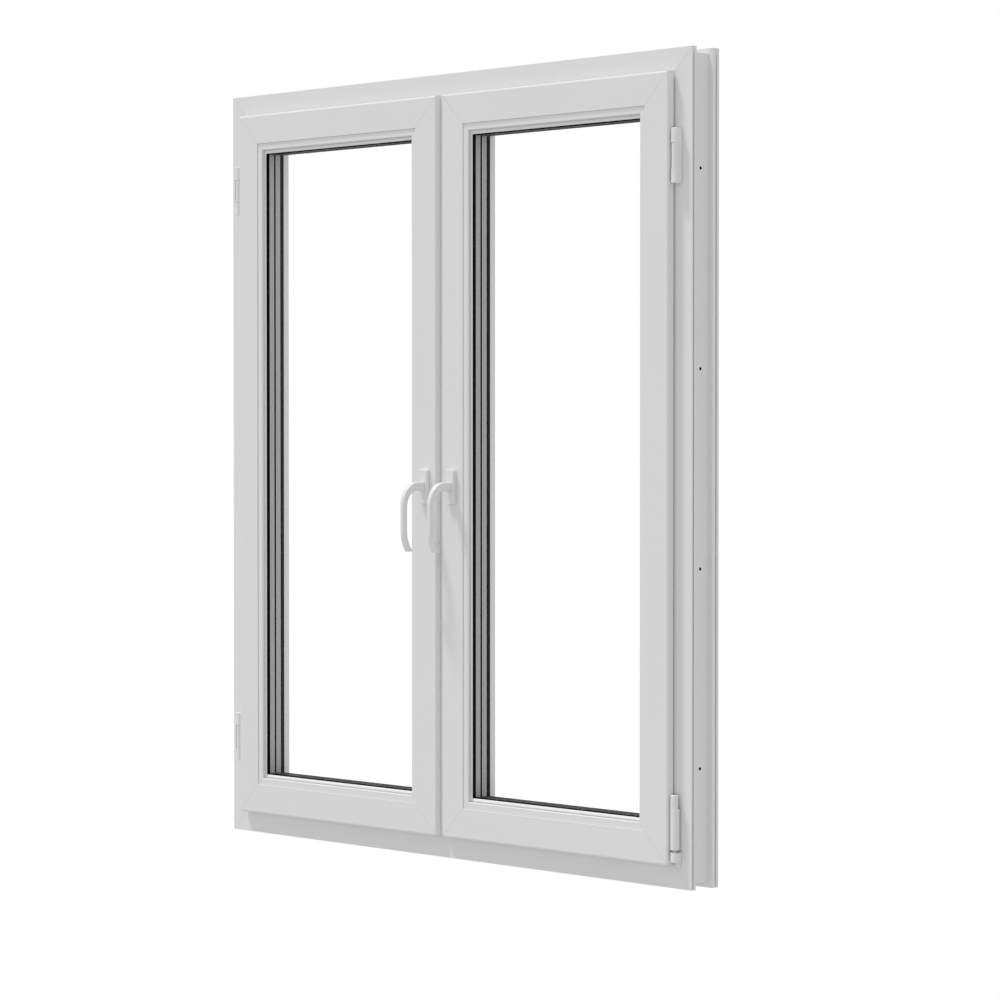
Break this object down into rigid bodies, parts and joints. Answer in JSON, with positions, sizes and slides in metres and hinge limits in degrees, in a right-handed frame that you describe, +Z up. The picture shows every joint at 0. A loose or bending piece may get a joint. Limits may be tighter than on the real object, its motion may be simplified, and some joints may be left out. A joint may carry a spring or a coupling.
{
  "type": "casement window",
  "caption": "White casement window with inward-opening sashes on side hinges, a tilting corner pivot, insulated glazing and lever handles.",
  "frame": {"origin": "middle of the outer frame's underside, half way through its depth", "axes": "+X along the width to the right seen from the room, +Y from the room towards the outside, +Z up"},
  "size_m": [1.3, 0.1493, 1.5],
  "materials": {
    "upvc_white": "satin white uPVC",
    "glass_clear": "clear float glass",
    "spacer_aluminium": "matt aluminium with fine perforations",
    "gasket_black": "matt black EPDM",
    "hardware_white": "white powder coat",
    "hardware_steel": "zinc-plated steel"
  },
  "bodies": {
    "frame": {"frame_head": "upvc_white", "frame_jamb_left": "upvc_white", "frame_jamb_right": "upvc_white", "frame_mullion": "upvc_white", "frame_sill": "upvc_white", "left_hinge_bracket_lower": "hardware_white", "left_hinge_bracket_upper": "hardware_white", "left_hinge_pin_lower": "hardware_steel", "left_hinge_pin_upper": "hardware_steel", "left_keep": "hardware_steel", "right_corner_bearing": "hardware_white", "right_hinge_bracket_upper": "hardware_white", "right_hinge_pin_upper": "hardware_steel", "right_keep": "hardware_steel"},
    "left_sash": {"left_bead_bottom": "upvc_white", "left_bead_left": "upvc_white", "left_bead_right": "upvc_white", "left_bead_top": "upvc_white", "left_bottom_rail": "upvc_white", "left_gasket_inner": "gasket_black", "left_gasket_outer": "gasket_black", "left_gearbox": "hardware_steel", "left_handle_rosette": "hardware_white", "left_hinge_leaf_lower": "hardware_white", "left_hinge_leaf_upper": "hardware_white", "left_hinge_stile": "upvc_white", "left_lock_stile": "upvc_white", "left_pane_inner": "glass_clear", "left_pane_middle": "glass_clear", "left_pane_outer": "glass_clear", "left_seal": "gasket_black", "left_spacer_inner": "spacer_aluminium", "left_spacer_middle": "spacer_aluminium", "left_top_rail": "upvc_white"},
    "left_handle": {"left_handle_lever": "hardware_white"},
    "left_lock": {"left_lock_bar": "hardware_steel"},
    "right_pivot": {"right_corner_pivot": "hardware_steel"},
    "stay": {"right_stay_arm": "hardware_steel"},
    "right_sash": {"right_bead_bottom": "upvc_white", "right_bead_left": "upvc_white", "right_bead_right": "upvc_white", "right_bead_top": "upvc_white", "right_bottom_rail": "upvc_white", "right_corner_sleeve": "hardware_white", "right_gasket_inner": "gasket_black", "right_gasket_outer": "gasket_black", "right_gearbox": "hardware_steel", "right_handle_rosette": "hardware_white", "right_hinge_stile": "upvc_white", "right_lock_stile": "upvc_white", "right_pane_inner": "glass_clear", "right_pane_middle": "glass_clear", "right_pane_outer": "glass_clear", "right_seal": "gasket_black", "right_spacer_inner": "spacer_aluminium", "right_spacer_middle": "spacer_aluminium", "right_top_rail": "upvc_white"},
    "right_handle": {"right_handle_lever": "hardware_white"},
    "right_lock": {"right_lock_bar": "hardware_steel"}
  },
  "joints": [
    {"name": "left_swing", "type": "hinge", "parent": "frame", "child": "left_sash", "pos_m": [-0.6184, -0.0444, 0.75], "axis": [0, 0, -1], "range_deg": [0, 90]},
    {"name": "left_handle_turn", "type": "hinge", "parent": "left_sash", "child": "left_handle", "pos_m": [-0.03805, -0.0535, 0.7115], "axis": [0, 1, 0], "range_deg": [0, 90]},
    {"name": "left_lock_slide", "type": "slide", "parent": "left_sash", "child": "left_lock", "axis": [0, 0, 1], "range_m": [0, 0.018]},
    {"name": "right_swing", "type": "hinge", "parent": "frame", "child": "right_pivot", "pos_m": [0.6184, -0.0444, 0.056], "axis": [0, 0, 1], "range_deg": [0, 90]},
    {"name": "right_tilt", "type": "hinge", "parent": "right_pivot", "child": "right_sash", "pos_m": [0.6184, -0.0444, 0.056], "axis": [1, 0, 0], "range_deg": [0, 6.5]},
    {"name": "stay_fold", "type": "hinge", "parent": "right_pivot", "child": "stay", "pos_m": [0.6184, -0.0444, 1.307], "axis": [0, 0, 1], "range_deg": [0, 26.2]},
    {"name": "right_handle_turn", "type": "hinge", "parent": "right_sash", "child": "right_handle", "pos_m": [0.03805, -0.0535, 0.7115], "axis": [0, -1, 0], "range_deg": [0, 180]},
    {"name": "right_lock_slide", "type": "slide", "parent": "right_sash", "child": "right_lock", "axis": [0, 0, 1], "range_m": [0, 0.036]}
  ],
  "couplings": [
    {"joint": "left_lock_slide", "follows": "left_handle_turn", "m_per_rad": 0.011459},
    {"joint": "right_lock_slide", "follows": "right_handle_turn", "m_per_rad": 0.011459},
    {"joint": "stay_fold", "follows": "right_tilt", "ratio": 4}
  ]
}
